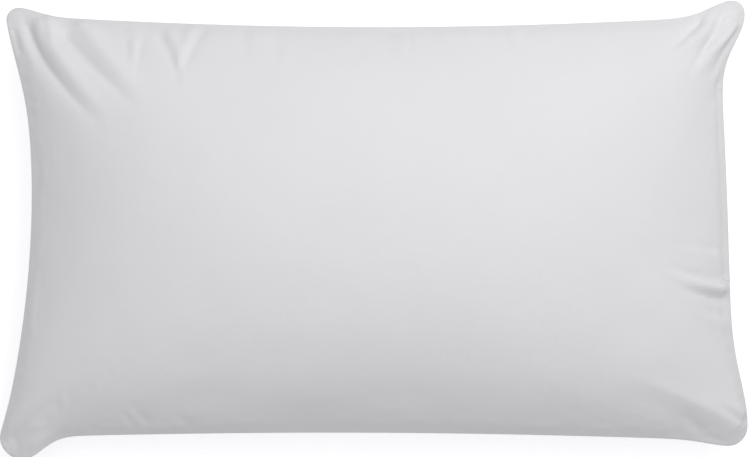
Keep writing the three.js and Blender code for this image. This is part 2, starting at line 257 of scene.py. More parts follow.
def mesh_object(name, points, faces):
    """A smooth-shaded mesh object at the origin, linked to the scene, from an array of points
    and a list of faces."""
    mesh = bpy.data.meshes.new(name)
    mesh.from_pydata(points.tolist(), [], faces)
    mesh.shade_smooth()
    mesh.update()
    piece = bpy.data.objects.new(name, mesh)
    SCENE.collection.objects.link(piece)
    return piece


CELLS_LONG = 96
CELLS_SHORT = 60
START_CROWN = 0.9             # the starting dome's height, as a share of the crown
START_SQUARENESS = 2.4        # the power that its height falls off by towards the seam
START_STEEPNESS = 0.6         # and how upright it stands there


def inflate(cells_long, cells_short, frames):
    """Sews two flat grids of cloth together at their edge, pins the seam to the filled outline
    and blows them up from a low dome, with the flat cut as the cloth's rest shape. Returns the
    front and the back grid of points."""
    u, v = np.meshgrid(crowded(cells_long), crowded(cells_short), indexing="ij")
    p, q = filled_place(u, v)
    x, y = warp(p, q)
    level = seam_level(p, q)
    fall_u = 1 - np.abs(u) ** START_SQUARENESS
    fall_v = 1 - np.abs(v) ** START_SQUARENESS
    dome = START_CROWN * CROWN * (fall_u * fall_v) ** START_STEEPNESS
    front = np.stack([x, y, level + dome], axis=-1)
    back = np.stack([x, y, level - dome], axis=-1)
    flat = np.stack([u * CUT_LENGTH / 2, v * CUT_WIDTH / 2, 0 * u], axis=-1) * GATHER

    front_numbers = np.arange(u.size).reshape(u.shape)
    back_numbers = front_numbers.copy()
    inner = back_numbers[1:-1, 1:-1]
    back_numbers[1:-1, 1:-1] = u.size + np.arange(inner.size).reshape(inner.shape)
    faces = np.concatenate([faces_of(front_numbers, True), faces_of(back_numbers, False)])
    inside = back[1:-1, 1:-1].reshape(-1, 3)
    points = np.concatenate([front.reshape(-1, 3), inside])
    rest = np.concatenate([flat.reshape(-1, 3), flat[1:-1, 1:-1].reshape(-1, 3)])

    bag = mesh_object("bag", points, faces.tolist())
    bag.shape_key_add(name="Basis")
    cut = bag.shape_key_add(name="cut")
    cut.data.foreach_set("co", rest.astype(np.float32).ravel())
    seam = np.ones(u.shape, bool)
    seam[1:-1, 1:-1] = False
    pins = bag.vertex_groups.new(name="seam")
    pins.add(front_numbers[seam].tolist(), 1.0, "REPLACE")
    cloth = bag.modifiers.new("cloth", "CLOTH")
    cloth.settings.quality = 6
    cloth.settings.mass = 0.15
    cloth.settings.tension_stiffness = 60
    cloth.settings.compression_stiffness = 2
    cloth.settings.shear_stiffness = 2
    cloth.settings.bending_stiffness = 0.05
    cloth.settings.tension_damping = 1
    cloth.settings.compression_damping = 1
    cloth.settings.shear_damping = 1
    cloth.settings.air_damping = 2
    cloth.settings.vertex_group_mass = "seam"
    cloth.settings.rest_shape_key = cut
    cloth.settings.use_pressure = True
    cloth.settings.uniform_pressure_force = 70
    cloth.settings.effector_weights.gravity = 0
    cloth.collision_settings.use_collision = False
    cloth.point_cache.frame_start = 1
    cloth.point_cache.frame_end = frames
    for step in range(1, frames + 1):
        SCENE.frame_set(step)
    blown = bag.evaluated_get(bpy.context.evaluated_depsgraph_get()).data
    settled = np.empty(len(points) * 3, np.float32)
    blown.vertices.foreach_get("co", settled)
    settled = settled.reshape(-1, 3).astype(float)
    bpy.data.objects.remove(bag)
    SCENE.frame_set(1)
    return settled[front_numbers], settled[back_numbers]


BLOWN_FRAMES = 22
front_blown, back_blown = inflate(CELLS_LONG, CELLS_SHORT, BLOWN_FRAMES)

FINER = 2.5                   # the finished panels' grid against the simulated one


def finer(count, times):
    """A matrix that turns count + 1 values into times as many, along a smooth curve through
    them: four neighbours weighted by the Catmull-Rom cubic, with the ends run on straight."""
    at = np.linspace(0, count, int(round(count * times)) + 1)
    cell = np.minimum(at.astype(int), count - 1)
    t = at - cell
    weights = np.stack([
        -0.5 * t + t ** 2 - 0.5 * t ** 3,
        1 - 2.5 * t ** 2 + 1.5 * t ** 3,
        0.5 * t + 2 * t ** 2 - 1.5 * t ** 3,
        -0.5 * t ** 2 + 0.5 * t ** 3,
    ], axis=-1)
    matrix = np.zeros((len(at), count + 3))
    rows = np.arange(len(at))
    for k in range(4):
        matrix[rows, cell + k] += weights[:, k]
    matrix[:, 1] += 2 * matrix[:, 0]
    matrix[:, 2] -= matrix[:, 0]
    matrix[:, -2] += 2 * matrix[:, -1]
    matrix[:, -3] -= matrix[:, -1]
    return matrix[:, 1:-1]


def refine(grid):
    """A grid of points made finer both ways."""
    along = finer(CELLS_LONG, FINER)
    across = finer(CELLS_SHORT, FINER)
    return np.einsum("ia,abk,jb->ijk", along, grid, across)


def smooth_noise(shape, cells, seed):
    """Soft random lumps from -1 to 1: random values on a coarse grid, made finer by the same
    cubic."""
    rough = np.random.default_rng(seed).uniform(-1, 1, (cells[0] + 1, cells[1] + 1))
    along = finer(cells[0], (shape[0] - 1) / cells[0])
    across = finer(cells[1], (shape[1] - 1) / cells[1])
    return along @ rough @ across.T


def normals_of(grid):
    """Unit normals of a grid of points, upwards where the grid is seen from above: the cross
    product of its two directions."""
    normal = np.cross(np.gradient(grid, axis=0), np.gradient(grid, axis=1))
    return normal / np.maximum(np.linalg.norm(normal, axis=-1, keepdims=True), 1e-12)


FINE_LONG = int(round(CELLS_LONG * FINER))
FINE_SHORT = int(round(CELLS_SHORT * FINER))
cut_u, cut_v = np.meshgrid(
    finer(CELLS_LONG, FINER) @ crowded(CELLS_LONG),
    finer(CELLS_SHORT, FINER) @ crowded(CELLS_SHORT),
    indexing="ij",
)
cut_x = cut_u * CUT_LENGTH / 2
cut_y = cut_v * CUT_WIDTH / 2
from_long_seam = CUT_WIDTH / 2 - np.abs(cut_y)
from_short_seam = CUT_LENGTH / 2 - np.abs(cut_x)
from_seam = np.minimum(from_long_seam, from_short_seam)

seam_p, seam_q = filled_place(cut_u, cut_v)
level = seam_level(seam_p, seam_q)


# A fold's section, across which its width counts as 1, and how it changes along its run.
FOLD_POINTS = 40              # along its run
VALLEY_FALL = 1.3             # how fast the valley rises to each side
VALLEY_ROUNDING = 0.06        # rounds its bottom
VALLEY_BOTTOM = 0.245         # that rounding's root, so that the bottom is at the full depth
CREST_PLACE = 2.1             # how far the ridge lies from the valley, and its spread
CREST_SPREAD = 1.2
START_WIDTH = 1.15            # the width at the start, and what it has lost by the end
WIDTH_LOST = 0.5
START_STRENGTH = 0.4          # the depth at the start, and the share of the run to the full one
OPENING_RUN = 0.12
FADE_POWER = 1.6              # how late the depth dies away


def fold(grid, start, bend, end, depth, width, ridge):
    """The depth of one fold over a grid, positive outwards, from sizes in millimetres. It runs
    on a quadratic curve from start by bend to end. Across it, a valley with a sharp bottom that
    falls off as an exponential, and on one side a rounded ridge: on the left where ridge is
    positive. Along it, the valley opens quickly from the start, narrows all the way and dies
    away at the end."""
    t = np.linspace(0, 1, FOLD_POINTS)
    start, bend, end = (np.array(point) / 1000 for point in (start, bend, end))
    line = np.outer((1 - t) ** 2, start) + np.outer(2 * t * (1 - t), bend) + np.outer(t ** 2, end)
    run = 2 * np.outer(1 - t, bend - start) + 2 * np.outer(t, end - bend)
    left = np.stack([-run[:, 1], run[:, 0]], axis=-1)
    left /= np.linalg.norm(left, axis=-1, keepdims=True)
    away = grid[..., None, :2] - line
    apart = np.linalg.norm(away, axis=-1)
    nearest = apart.argmin(axis=-1)
    away = np.take_along_axis(away, nearest[..., None, None], axis=-2)[..., 0, :]
    side = np.sign((away * left[nearest]).sum(axis=-1)) * np.sign(ridge)
    along = t[nearest]
    beside = apart.min(axis=-1) * side / (width / 1000) / (START_WIDTH - WIDTH_LOST * along)
    valley = -np.exp(-VALLEY_FALL * (np.sqrt(beside ** 2 + VALLEY_ROUNDING) - VALLEY_BOTTOM))
    crest = abs(ridge) * np.exp(-((beside - CREST_PLACE) / CREST_SPREAD) ** 2)
    opened = np.minimum(along / OPENING_RUN + START_STRENGTH, 1)
    strength = opened * (1 - along ** FADE_POWER)
    return depth / 1000 * (valley + crest) * strength


# The front's folds, in millimetres: start, bend, end, depth, width, ridge.
FRONT_FOLDS = [
    # the back left ear: strong folds that fan out from its tip, with small ones between them
    ((-370, 224), (-364, 180), (-280, 105), 9.0, 9.5, 0.8),
    ((-366, 214), (-360, 200), (-346, 176), 2.2, 3.5, 0.5),
    ((-332, 210), (-298, 174), (-244, 124), 7.0, 9.5, 0.9),
    ((-386, 214), (-381, 196), (-364, 164), 3.2, 5.5, 0.6),
    ((-350, 224), (-347, 208), (-338, 188), 1.8, 3.5, 0.6),
    # puckers along the back seam beside it, two of them meeting in a V
    ((-259, 198), (-256, 184), (-254, 168), 1.8, 3.2, 0.6),
    ((-243, 202), (-246, 184), (-249, 156), 1.8, 4.0, -0.6),
    ((-226, 206), (-210, 186), (-201, 144), 4.2, 4.2, 0.7),
    ((-180, 212), (-190, 190), (-203, 158), 3.6, 4.5, -0.8),
    ((-137, 212), (-134, 190), (-128, 160), 1.5, 5.0, 0.6),
    ((-103, 210), (-100, 190), (-97, 165), 1.1, 5.0, 0.6),
    ((17, 208), (18, 185), (16, 160), 1.2, 5.0, 0.6),
    ((36, 208), (37, 190), (38, 165), 1.0, 4.0, 0.6),
    ((135, 212), (140, 195), (148, 170), 1.2, 5.0, 0.6),
    ((160, 212), (158, 196), (152, 176), 0.9, 4.0, -0.6),
    # the back right ear: folds that fan down from its tip
    ((348, 226), (328, 204), (304, 182), 6.0, 5.5, 0.8),
    ((371, 230), (354, 198), (330, 164), 6.5, 5.5, 0.8),
    ((384, 226), (366, 206), (340, 184), 4.2, 3.8, 0.7),
    ((392, 224), (374, 194), (350, 156), 5.0, 5.0, 0.7),
    ((370, 168), (362, 150), (354, 124), 2.6, 4.0, 0.7),
    # the double tuck beside the end of the closing seam
    ((379, -73), (353, -72), (318, -59), 6.5, 6.0, -0.9),
    ((377, -54), (342, -54), (300, -34), 4.6, 4.5, 0.8),
    ((379, -90), (358, -88), (338, -78), 2.2, 5.0, 0.7),
    ((375, -20), (345, -18), (302, -13), 1.4, 4.0, 0.7),
    # the front right ear: a long ridge off its tip, with a short sharp fold beside it
    ((388, -208), (358, -186), (262, -150), -4.5, 13.0, 0.6),
    ((388, -202), (379, -195), (360, -183), 2.6, 4.0, -0.8),
    ((352, -216), (340, -206), (322, -190), 1.6, 6.0, 0.7),
    # the front left ear and the tucks beside it
    ((-386, -226), (-368, -206), (-330, -176), 2.6, 8.0, 0.8),
    ((-236, -208), (-243, -194), (-256, -178), 2.0, 4.5, 0.7),
    ((-248, -210), (-256, -198), (-268, -186), 1.4, 4.0, 0.7),
    ((-188, -210), (-198, -200), (-212, -190), 1.6, 4.5, 0.7),
    ((-352, -218), (-345, -208), (-336, -196), 1.2, 4.0, 0.7),
]

# The underside's folds: short ones off the ears and the fullest stretches of seam.
BACK_FOLDS = [
    ((-372, 226), (-352, 196), (-306, 150), 5.0, 7.0, 0.8),
    ((-346, 214), (-322, 186), (-290, 158), 3.0, 5.0, -0.7),
    ((-384, 196), (-374, 172), (-356, 140), 3.0, 5.0, 0.7),
    ((-214, 208), (-206, 184), (-196, 156), 2.2, 4.5, 0.7),
    ((-60, 208), (-62, 186), (-58, 164), 1.4, 5.0, 0.7),
    ((88, 208), (92, 186), (98, 166), 1.6, 4.5, 0.7),
    ((380, 224), (356, 194), (318, 160), 5.0, 6.5, 0.8),
    ((352, 216), (330, 192), (300, 170), 3.0, 5.0, -0.7),
    ((372, 96), (350, 92), (322, 84), 2.0, 4.5, 0.7),
    ((374, -66), (346, -62), (308, -48), 3.4, 5.0, 0.7),
    ((388, -212), (362, -188), (318, -158), 4.5, 7.0, -0.8),
    ((376, -176), (358, -160), (334, -140), 2.4, 5.0, 0.7),
    ((236, -212), (230, -192), (220, -172), 1.8, 4.5, 0.7),
    ((40, -208), (42, -188), (38, -168), 1.3, 5.0, 0.7),
    ((-150, -208), (-156, -190), (-168, -172), 1.7, 4.5, 0.7),
    ((-380, -222), (-352, -194), (-310, -160), 5.0, 7.5, 0.8),
    ((-386, -178), (-368, -160), (-344, -138), 3.0, 5.0, 0.7),
    ((-364, -20), (-346, -16), (-324, -6), 1.6, 4.5, 0.7),
]

LUMPS = 0.0012                # the filling's broad lumps, and the finer ones on them
LUMP_CELLS = (9, 6)
FINE_LUMPS = 0.0004
FINE_LUMP_CELLS = (26, 16)
PUCKER = 0.0011               # the tiny uneven gathers that any sewn seam has
PUCKER_CELLS = (84, 54)
PUCKER_REACH = 0.011
RELIEF_START = 0.006          # in from the seam, where folds, lumps and puckers are at their full
RELIEF_RISE = 0.7             # the power that they rise by up to there

REST_SOFTNESS = 0.008         # how gently the underside lifts off the surface it lies on

front = refine(front_blown)
height_left = np.clip((front[..., 2] - level) / (front_blown[..., 2].max() - SEAM_LEVEL), 0, None)
front[..., 2] = level + CROWN * height_left
relief = sum(fold(front, *values) for values in FRONT_FOLDS)
lumps = LUMPS * smooth_noise(front.shape, LUMP_CELLS, seed=3)
lumps = lumps + FINE_LUMPS * smooth_noise(front.shape, FINE_LUMP_CELLS, seed=4)
inside_seam = np.clip(from_seam / RELIEF_START, 0, 1) ** RELIEF_RISE
puckers = np.exp(-from_seam / PUCKER_REACH) * PUCKER
front_puckers = puckers * smooth_noise(front.shape, PUCKER_CELLS, seed=5)
front += normals_of(front) * ((relief + lumps + front_puckers) * inside_seam)[..., None]

back = refine(back_blown)
back_puckers = puckers * smooth_noise(back.shape, PUCKER_CELLS, seed=6)
under_relief = sum(fold(back, *values) for values in BACK_FOLDS)
back -= normals_of(back) * ((under_relief + back_puckers) * inside_seam)[..., None]
below = back[..., 2]
back[..., 2] = (below + np.sqrt(below ** 2 + REST_SOFTNESS ** 2)) / 2
back[..., 2] -= back[..., 2].min() * (1 - np.clip(back[..., 2] / SEAM_LEVEL, 0, 1))

# The opening that the filling went in through is in the short side at +X. Its two folded edges
# are pressed together and stitched through, which leaves a narrow flat lip there.
OPENING = tuple(corner[1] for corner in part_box("closing_needle_thread"))
LIP_OUT = 0.0007              # all round, each panel's fold stands this far out of the seam line
LIP_RISE = 0.0010             # and rises this far off it before the face begins
LIP_WIDTH = 0.0016            # pressed flattest up to here, in from the seam line
LIP_SLOPE = 0.005             # and not at all this much further in
LIP_FADE = 0.02               # past each end of the opening
LIP_PRESS = 0.65              # how much of the face's height the pressing takes away


def eased(t):
    """0 to 1 with level ends: three times the square less twice the cube."""
    return t ** 2 * (3 - 2 * t)


beyond_opening = np.maximum(OPENING[0] - front[..., 1], front[..., 1] - OPENING[1])
at_opening = eased(np.clip(1 - beyond_opening / LIP_FADE, 0, 1) * (cut_u > 0))
further_in = np.clip((from_short_seam - LIP_WIDTH) / LIP_SLOPE, 0, 1)
pressed = at_opening * (1 - eased(further_in))
for grid, side in ((front, 1), (back, -1)):
    proud = np.maximum(side * (grid[..., 2] - level) - LIP_RISE, 0)
    grid[..., 2] -= side * proud * pressed * LIP_PRESS

SEAM_GAP = 0.0003             # between the two panels at the stitches
# The fold's section: three rings from the face round to the allowance, as shares of the lip's
# reach and rise. Then the allowance's rings, in from the seam line.
ROLL_OUT = (0.6, 1.0, 0.6)
ROLL_RISE = (1.0, 0.55, 0.18)
ALLOWANCE_RINGS = (0.0008, 0.003, 0.0065, SEAM_ALLOWANCE)


def round_the_edge(grid):
    """The grid's outer row as one closed ring, counter-clockwise from above."""
    return np.concatenate([grid[:-1, 0], grid[-1, :-1], grid[:0:-1, -1], grid[0, :0:-1]])


def ring_outward(ring):
    """Level unit vectors that point out of a closed ring of points."""
    along = np.roll(ring, -1, axis=0) - np.roll(ring, 1, axis=0)
    out = np.stack([along[:, 1], -along[:, 0], 0 * along[:, 0]], axis=-1)
    return out / np.linalg.norm(out, axis=-1, keepdims=True)


def panel_object(name, grid, side):
    """A panel: its face, then rings that roll over the fold and run in along the allowance."""
    numbers = np.arange(grid.shape[0] * grid.shape[1]).reshape(grid.shape[:2])
    edge = round_the_edge(numbers)
    seam = round_the_edge(grid)
    out = ring_outward(seam)
    up = np.array([0.0, 0.0, float(side)])
    points = grid.reshape(-1, 3).copy()
    points[edge] = seam + out * LIP_OUT * ROLL_OUT[0] + up * LIP_RISE * ROLL_RISE[0]
    insets = [-LIP_OUT * share for share in ROLL_OUT[1:]] + list(ALLOWANCE_RINGS)
    rises = [LIP_RISE * share for share in ROLL_RISE[1:]] + [SEAM_GAP / 2] * len(ALLOWANCE_RINGS)
    rings = [seam - out * inset + up * rise for inset, rise in zip(insets, rises)]
    first = len(points)
    ring_numbers = [edge] + [
        first + k * len(edge) + np.arange(len(edge)) for k in range(len(rings))
    ]
    points = np.concatenate([points, *rings])
    faces = [faces_of(numbers, side > 0)]
    band = np.stack([np.append(ring, ring[0]) for ring in ring_numbers])
    faces.append(faces_of(band, side > 0))
    cut = np.stack([cut_x, cut_y], axis=-1)
    edge_cut = round_the_edge(cut)
    away = edge_cut / np.linalg.norm(edge_cut, axis=-1, keepdims=True)
    cut = np.concatenate([cut.reshape(-1, 2), *[edge_cut + away * inset for inset in insets]])
    seam_distance = np.concatenate([from_seam.ravel(), np.zeros(len(edge) * len(insets))])
    piece = mesh_object(name, points, np.concatenate(faces).tolist())
    layer = piece.data.uv_layers.new(name="cut")
    corners = np.empty(len(piece.data.loops), int)
    piece.data.loops.foreach_get("vertex_index", corners)
    layer.data.foreach_set("uv", cut[corners].astype(np.float32).ravel())
    # Each point's distance from the seam, which makes the cloth's colour greyer near the seam.
    seam_distance_values = piece.data.attributes.new("from_seam", "FLOAT", "POINT")
    seam_distance_values.data.foreach_set("value", seam_distance.astype(np.float32))
    wall = piece.modifiers.new("cloth_thickness", "SOLIDIFY")
    wall.thickness = CLOTH_THICKNESS
    wall.offset = -1.0
    return piece


THREADS_PER_METRE = 2900.0
WEAVE_HEIGHT = 0.00004
SLUBS_PER_METRE = 400.0       # across the threads, of their thick and thin stretches
SLUB_STRETCH = 0.03           # and this share of it along them
SLUB_HEIGHT = 0.00006
CRUMPLES_PER_METRE = 70.0
CRUMPLE_HEIGHT = 0.0006
CLOUDS_PER_METRE = 9.0
SEAM_GREYING_PER_METRE = 90.0       # one over the width of the greyer band along the seam
CLEAR_OF_SEAM_TONE = 0.5           # how much of the tone comes from each: away from the edge, the
CLOUD_TONE = 0.35             # cloudiness and the slubs
SLUB_TONE = 0.12


def percale():
    """Fine white plain weave: two sets of threads passing over and under each other, threads
    that vary in thickness, a faint cloudiness, and cloth a little greyer along the seam."""
    cloth = bpy.data.materials.new("white_percale")
    cloth.use_nodes = True
    nodes = cloth.node_tree.nodes
    link = cloth.node_tree.links.new
    shader = nodes["Principled BSDF"]
    shader.inputs["Roughness"].default_value = 0.88
    shader.inputs["Specular IOR Level"].default_value = 0.25
    shader.inputs["Sheen Weight"].default_value = 0.12
    shader.inputs["Sheen Roughness"].default_value = 0.6
    place = nodes.new("ShaderNodeUVMap")
    place.uv_map = "cut"
    split = nodes.new("ShaderNodeSeparateXYZ")
    link(place.outputs["UV"], split.inputs["Vector"])

    def maths(operation, first, second=None, third=None):
        node = nodes.new("ShaderNodeMath")
        node.operation = operation
        for socket, value in zip(node.inputs, (first, second, third)):
            if value is None:
                continue
            if isinstance(value, (int, float)):
                socket.default_value = value
            else:
                link(value, socket)
        return node.outputs[0]

    def noise(scale, detail, stretch=None):
        node = nodes.new("ShaderNodeTexNoise")
        node.inputs["Scale"].default_value = scale
        node.inputs["Detail"].default_value = detail
        source = place.outputs["UV"]
        if stretch:
            turn = nodes.new("ShaderNodeMapping")
            turn.inputs["Scale"].default_value = stretch
            link(source, turn.inputs["Vector"])
            source = turn.outputs["Vector"]
        link(source, node.inputs["Vector"])
        return node.outputs["Fac"]

    turns = THREADS_PER_METRE * math.pi
    warp_wave = maths("SINE", maths("MULTIPLY", split.outputs["X"], turns))
    weft_wave = maths("SINE", maths("MULTIPLY", split.outputs["Y"], turns))
    weave = maths("MULTIPLY", warp_wave, weft_wave)
    warp_slub = noise(SLUBS_PER_METRE, 1.0, (1, SLUB_STRETCH, 1))
    weft_slub = noise(SLUBS_PER_METRE, 1.0, (SLUB_STRETCH, 1, 1))
    slub = maths("ADD", warp_slub, weft_slub)
    crumple = noise(CRUMPLES_PER_METRE, 3.0)
    height = maths("MULTIPLY_ADD", weave, WEAVE_HEIGHT, maths("MULTIPLY", slub, SLUB_HEIGHT))
    height = maths("MULTIPLY_ADD", crumple, CRUMPLE_HEIGHT, height)
    bump = nodes.new("ShaderNodeBump")
    bump.inputs["Strength"].default_value = 0.6
    bump.inputs["Distance"].default_value = 1.0
    link(height, bump.inputs["Height"])
    link(bump.outputs["Normal"], shader.inputs["Normal"])

    # The cloth's colour is slightly greyer within about a centimetre of the seam, and grows lighter
    # with the distance from it.
    edge = nodes.new("ShaderNodeAttribute")
    edge.attribute_name = "from_seam"
    clear_of_seam = maths("MULTIPLY", edge.outputs["Fac"], SEAM_GREYING_PER_METRE)
    clear_of_seam = maths("MINIMUM", clear_of_seam, 1.0)
    clouds = noise(CLOUDS_PER_METRE, 2.0)
    slubbed = maths("MULTIPLY", slub, SLUB_TONE)
    cloudy = maths("MULTIPLY_ADD", clouds, CLOUD_TONE, slubbed)
    shade = maths("MULTIPLY_ADD", clear_of_seam, CLEAR_OF_SEAM_TONE, cloudy)
    tone = nodes.new("ShaderNodeValToRGB")
    tone.color_ramp.elements[0].position = 0.1
    tone.color_ramp.elements[0].color = (0.775, 0.772, 0.785, 1.0)
    tone.color_ramp.elements[1].position = 0.85
    tone.color_ramp.elements[1].color = (0.825, 0.825, 0.838, 1.0)
    link(shade, tone.inputs["Fac"])
    link(tone.outputs["Color"], shader.inputs["Base Color"])
    return cloth


PERCALE = percale()
front_panel = panel_object("percale_front", front, 1)
back_panel = panel_object("percale_back", back, -1)
for panel, node in ((front_panel, "front_panel"), (back_panel, "back_panel")):
    panel.data.materials.append(PERCALE)
    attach(panel, "root")
    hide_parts(node)


# The filling ---------------------------------------------------------------------------------
# One batt of carded hollow fibre, a white springy wadding, is folded in three and pushed in
# through the opening. It fills the casing almost to the seam and leaves the ears empty.

BATT_REACH = (0.94, 0.90)     # how far it fills, as shares of the way to the short and long seams
BATT_LAYERS = 3
LAYER_SPACE = 0.012           # taken off each face of a layer, as a share of the height
COVER_SPACE = 0.006           # between the batt and the cloth, and the most of the height that
COVER_SHARE = 0.42            # it may take where the casing is thin
BATT_TURN = 0.085             # how far a turn bulges past the layers, as a share of half a length
RISE_WEIGHT = 6               # the casing is long and low, so a share of its height counts for less
EDGE_POWER = 10               # how late a layer thins towards the long seams
EDGE_THINNING = 0.98
BATT_STEPS = 48               # points along each layer, and across
FLUFF = 0.0015
FLUFF_CELLS = (70, 22)


def sample(grid, u, v):
    """Points of a grid at any (u, v), straight between the four nearest."""
    i = np.interp(u, cut_u[:, 0], np.arange(grid.shape[0]))
    j = np.interp(v, cut_v[0], np.arange(grid.shape[1]))
    i0 = np.minimum(i.astype(int), grid.shape[0] - 2)
    j0 = np.minimum(j.astype(int), grid.shape[1] - 2)
    a = (i - i0)[..., None]
    b = (j - j0)[..., None]
    near = grid[i0, j0] * (1 - a) + grid[i0 + 1, j0] * a
    far = grid[i0, j0 + 1] * (1 - a) + grid[i0 + 1, j0 + 1] * a
    return near * (1 - b) + far * b


def batt_path(steps):
    """The batt's middle line as (u, height share): level along each layer, with a half ellipse
    round to the next. With it comes the vector to its left, of length 1 where the line is
    level."""
    reach = BATT_REACH[0] - BATT_TURN
    pieces = []
    for layer in range(BATT_LAYERS):
        way = 1 if layer % 2 == 0 else -1
        height = (layer + 0.5) / BATT_LAYERS
        first = -BATT_REACH[0] if layer == 0 else -reach
        last = BATT_REACH[0] if layer == BATT_LAYERS - 1 else reach
        across = np.linspace(first, last, steps)
        pieces.append(np.stack([way * across, np.full(steps, height)], axis=-1))
        if layer < BATT_LAYERS - 1:
            angle = np.linspace(0, np.pi, steps // 3)[1:-1]
            rise = (1 - np.cos(angle)) / 2 / BATT_LAYERS
            bulge = reach + BATT_TURN * np.sin(angle)
            pieces.append(np.stack([way * bulge, height + rise], axis=-1))
    line = np.concatenate(pieces)
    run = np.gradient(line, axis=0) * (1, RISE_WEIGHT)
    left = np.stack([-run[:, 1], run[:, 0]], axis=-1)
    return line, left / np.linalg.norm(left, axis=-1, keepdims=True) / (RISE_WEIGHT, 1)


def inside_casing(u, v, share):
    """A place between the back panel, share 0, and the front panel, share 1, kept a little
    clear of both."""
    under = sample(back, u, v)
    over = sample(front, u, v)
    height = np.maximum(over[..., 2] - under[..., 2], 0.001)
    clear = np.clip(COVER_SPACE / height, 0, COVER_SHARE)
    t = clear + np.clip(share, 0, 1) * (1 - 2 * clear)
    return under + (over - under) * t[..., None]


def fibre_batt():
    """A thick sheet along the folded path: two faces half a layer either side of its middle,
    rounded off towards the long edges, with fluff on the first of them, and a band that joins
    them all round."""
    line, left = batt_path(BATT_STEPS)
    across = np.linspace(-1, 1, BATT_STEPS)
    thinned = 1 - EDGE_THINNING * np.abs(across) ** EDGE_POWER
    thick = (0.5 / BATT_LAYERS - LAYER_SPACE) * thinned ** 0.5
    faces = []
    for side in (1, -1):
        offset = side * left[:, None, :] * thick[None, :, None]
        u = line[:, None, 0] + offset[..., 0]
        share = line[:, None, 1] + offset[..., 1]
        faces.append(inside_casing(u, across[None, :] * BATT_REACH[1] + 0 * u, share))
    fluff = FLUFF * smooth_noise(faces[0].shape, FLUFF_CELLS, seed=11)
    faces[0][..., 2] += fluff * (1 - np.abs(across) ** 4)
    upper, lower = faces
    numbers = np.arange(upper.shape[0] * upper.shape[1]).reshape(upper.shape[:2])
    rim = round_the_edge(numbers)
    rim = np.append(rim, rim[0])
    band = np.stack([rim + numbers.size, rim])
    points = np.concatenate([upper.reshape(-1, 3), lower.reshape(-1, 3)])
    quads = [faces_of(numbers, True), faces_of(numbers + numbers.size, False)]
    quads.append(faces_of(band, False))
    return mesh_object("hollow_fibre_batt", points, np.concatenate(quads).tolist())


def wadding():
    """White carded fibre: long fine strands that wander, seen as streaky light and shade."""
    fibre = bpy.data.materials.new("carded_fibre")
    fibre.use_nodes = True
    nodes = fibre.node_tree.nodes
    link = fibre.node_tree.links.new
    shader = nodes["Principled BSDF"]
    shader.inputs["Roughness"].default_value = 0.95
    shader.inputs["Sheen Weight"].default_value = 0.3
    place = nodes.new("ShaderNodeTexCoord")
    comb = nodes.new("ShaderNodeMapping")
    comb.inputs["Scale"].default_value = (0.15, 1.0, 1.0)
    link(place.outputs["Object"], comb.inputs["Vector"])
    strands = nodes.new("ShaderNodeTexNoise")
    strands.inputs["Scale"].default_value = 420.0
    strands.inputs["Detail"].default_value = 4.0
    strands.inputs["Distortion"].default_value = 1.2
    link(comb.outputs["Vector"], strands.inputs["Vector"])
    tone = nodes.new("ShaderNodeValToRGB")
    tone.color_ramp.elements[0].color = (0.72, 0.72, 0.71, 1.0)
    tone.color_ramp.elements[1].color = (0.9, 0.9, 0.89, 1.0)
    link(strands.outputs["Fac"], tone.inputs["Fac"])
    link(tone.outputs["Color"], shader.inputs["Base Color"])
    bump = nodes.new("ShaderNodeBump")
    bump.inputs["Distance"].default_value = 0.0008
    link(strands.outputs["Fac"], bump.inputs["Height"])
    link(bump.outputs["Normal"], shader.inputs["Normal"])
    return fibre


batt = fibre_batt()
batt.data.materials.append(wadding())
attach(batt, "root")
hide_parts("fibre_batt")


# The seam's lockstitch -----------------------------------------------------------------------
# White spun polyester thread, stitched by machine before the casing is turned out. The needle
# thread shows on the front allowance and the bobbin thread on the back one; both start and stop
# at the opening.

THREAD_RADIUS = 0.00016
STITCH = 0.0028
SEAM_INSET = 0.003            # in from the seam line


def sewing_thread():
    """Spun polyester: fine slanting bands of light and shade, which stand for its twist."""
    thread = bpy.data.materials.new("polyester_thread")
    thread.use_nodes = True
    nodes = thread.node_tree.nodes
    link = thread.node_tree.links.new
    shader = nodes["Principled BSDF"]
    shader.inputs["Roughness"].default_value = 0.55
    shader.inputs["Sheen Weight"].default_value = 0.2
    place = nodes.new("ShaderNodeTexCoord")
    twist = nodes.new("ShaderNodeTexWave")
    twist.bands_direction = "DIAGONAL"
    twist.inputs["Scale"].default_value = 900.0
    twist.inputs["Distortion"].default_value = 0.6
    link(place.outputs["Object"], twist.inputs["Vector"])
    tone = nodes.new("ShaderNodeValToRGB")
    tone.color_ramp.elements[0].color = (0.78, 0.78, 0.79, 1.0)
    tone.color_ramp.elements[1].color = (0.88, 0.88, 0.89, 1.0)
    link(twist.outputs["Fac"], tone.inputs["Fac"])
    link(tone.outputs["Color"], shader.inputs["Base Color"])
    bump = nodes.new("ShaderNodeBump")
    bump.inputs["Distance"].default_value = 0.00004
    link(twist.outputs["Fac"], bump.inputs["Height"])
    link(bump.outputs["Normal"], shader.inputs["Normal"])
    return thread


THREAD = sewing_thread()


